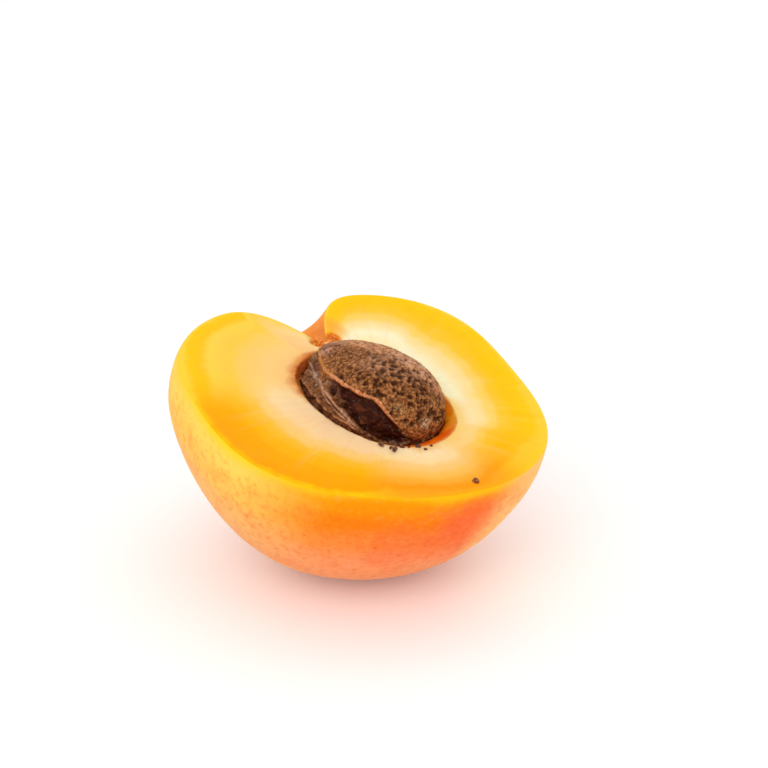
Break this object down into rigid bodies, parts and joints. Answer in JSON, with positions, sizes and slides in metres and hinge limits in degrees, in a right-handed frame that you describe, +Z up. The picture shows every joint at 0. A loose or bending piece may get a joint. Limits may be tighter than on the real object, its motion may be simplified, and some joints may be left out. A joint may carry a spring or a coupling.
{
  "type": "apricot half",
  "caption": "Apricot half with a flat cut face, a notch at its stem end, and the ridged stone lying in its hollow; it rests on a small flat spot.",
  "frame": {"origin": "middle of the part's outline seen from above, on the plane it rests on", "axes": "+Z up, out of the resting plane; the stem-to-apex line runs toward +X and -Y, 56 degrees round from +X, dipping 13 degrees"},
  "size_m": [0.0526, 0.0532, 0.0335],
  "materials": {
    "flesh_and_skin": "juicy matt flesh, velvety skin",
    "stone_shell": "rough, pitted, woody"
  },
  "bodies": {
    "root": {"apricot_half": "flesh_and_skin", "stone": "stone_shell"}
  },
  "joints": []
}
